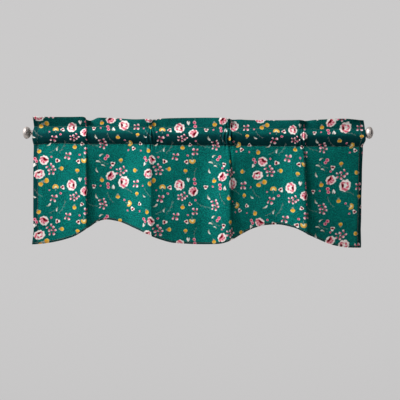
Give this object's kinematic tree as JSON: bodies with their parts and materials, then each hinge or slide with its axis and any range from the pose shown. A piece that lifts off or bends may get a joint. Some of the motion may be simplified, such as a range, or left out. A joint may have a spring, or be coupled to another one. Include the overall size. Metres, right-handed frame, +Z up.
{
  "type": "window valance on curtain rod",
  "caption": "Printed cloth window valance with an arched hem, gathered a little on a round curtain rod with knob ends.",
  "frame": {"origin": "on the rod's axis, halfway along the rod, which the wall brackets hold up", "axes": "+X along the rod to the viewer's right, -Y out of the cloth's front, +Z up"},
  "size_m": [1.2296, 0.0711, 0.4595],
  "materials": {
    "printed_cloth": "dark green woven cloth with a small print of roses, buds and leaves",
    "brushed_nickel": "satin"
  },
  "bodies": {
    "root": {"valance_cloth": "printed_cloth", "rod": "brushed_nickel", "finial_left": "brushed_nickel", "finial_right": "brushed_nickel"}
  },
  "joints": []
}
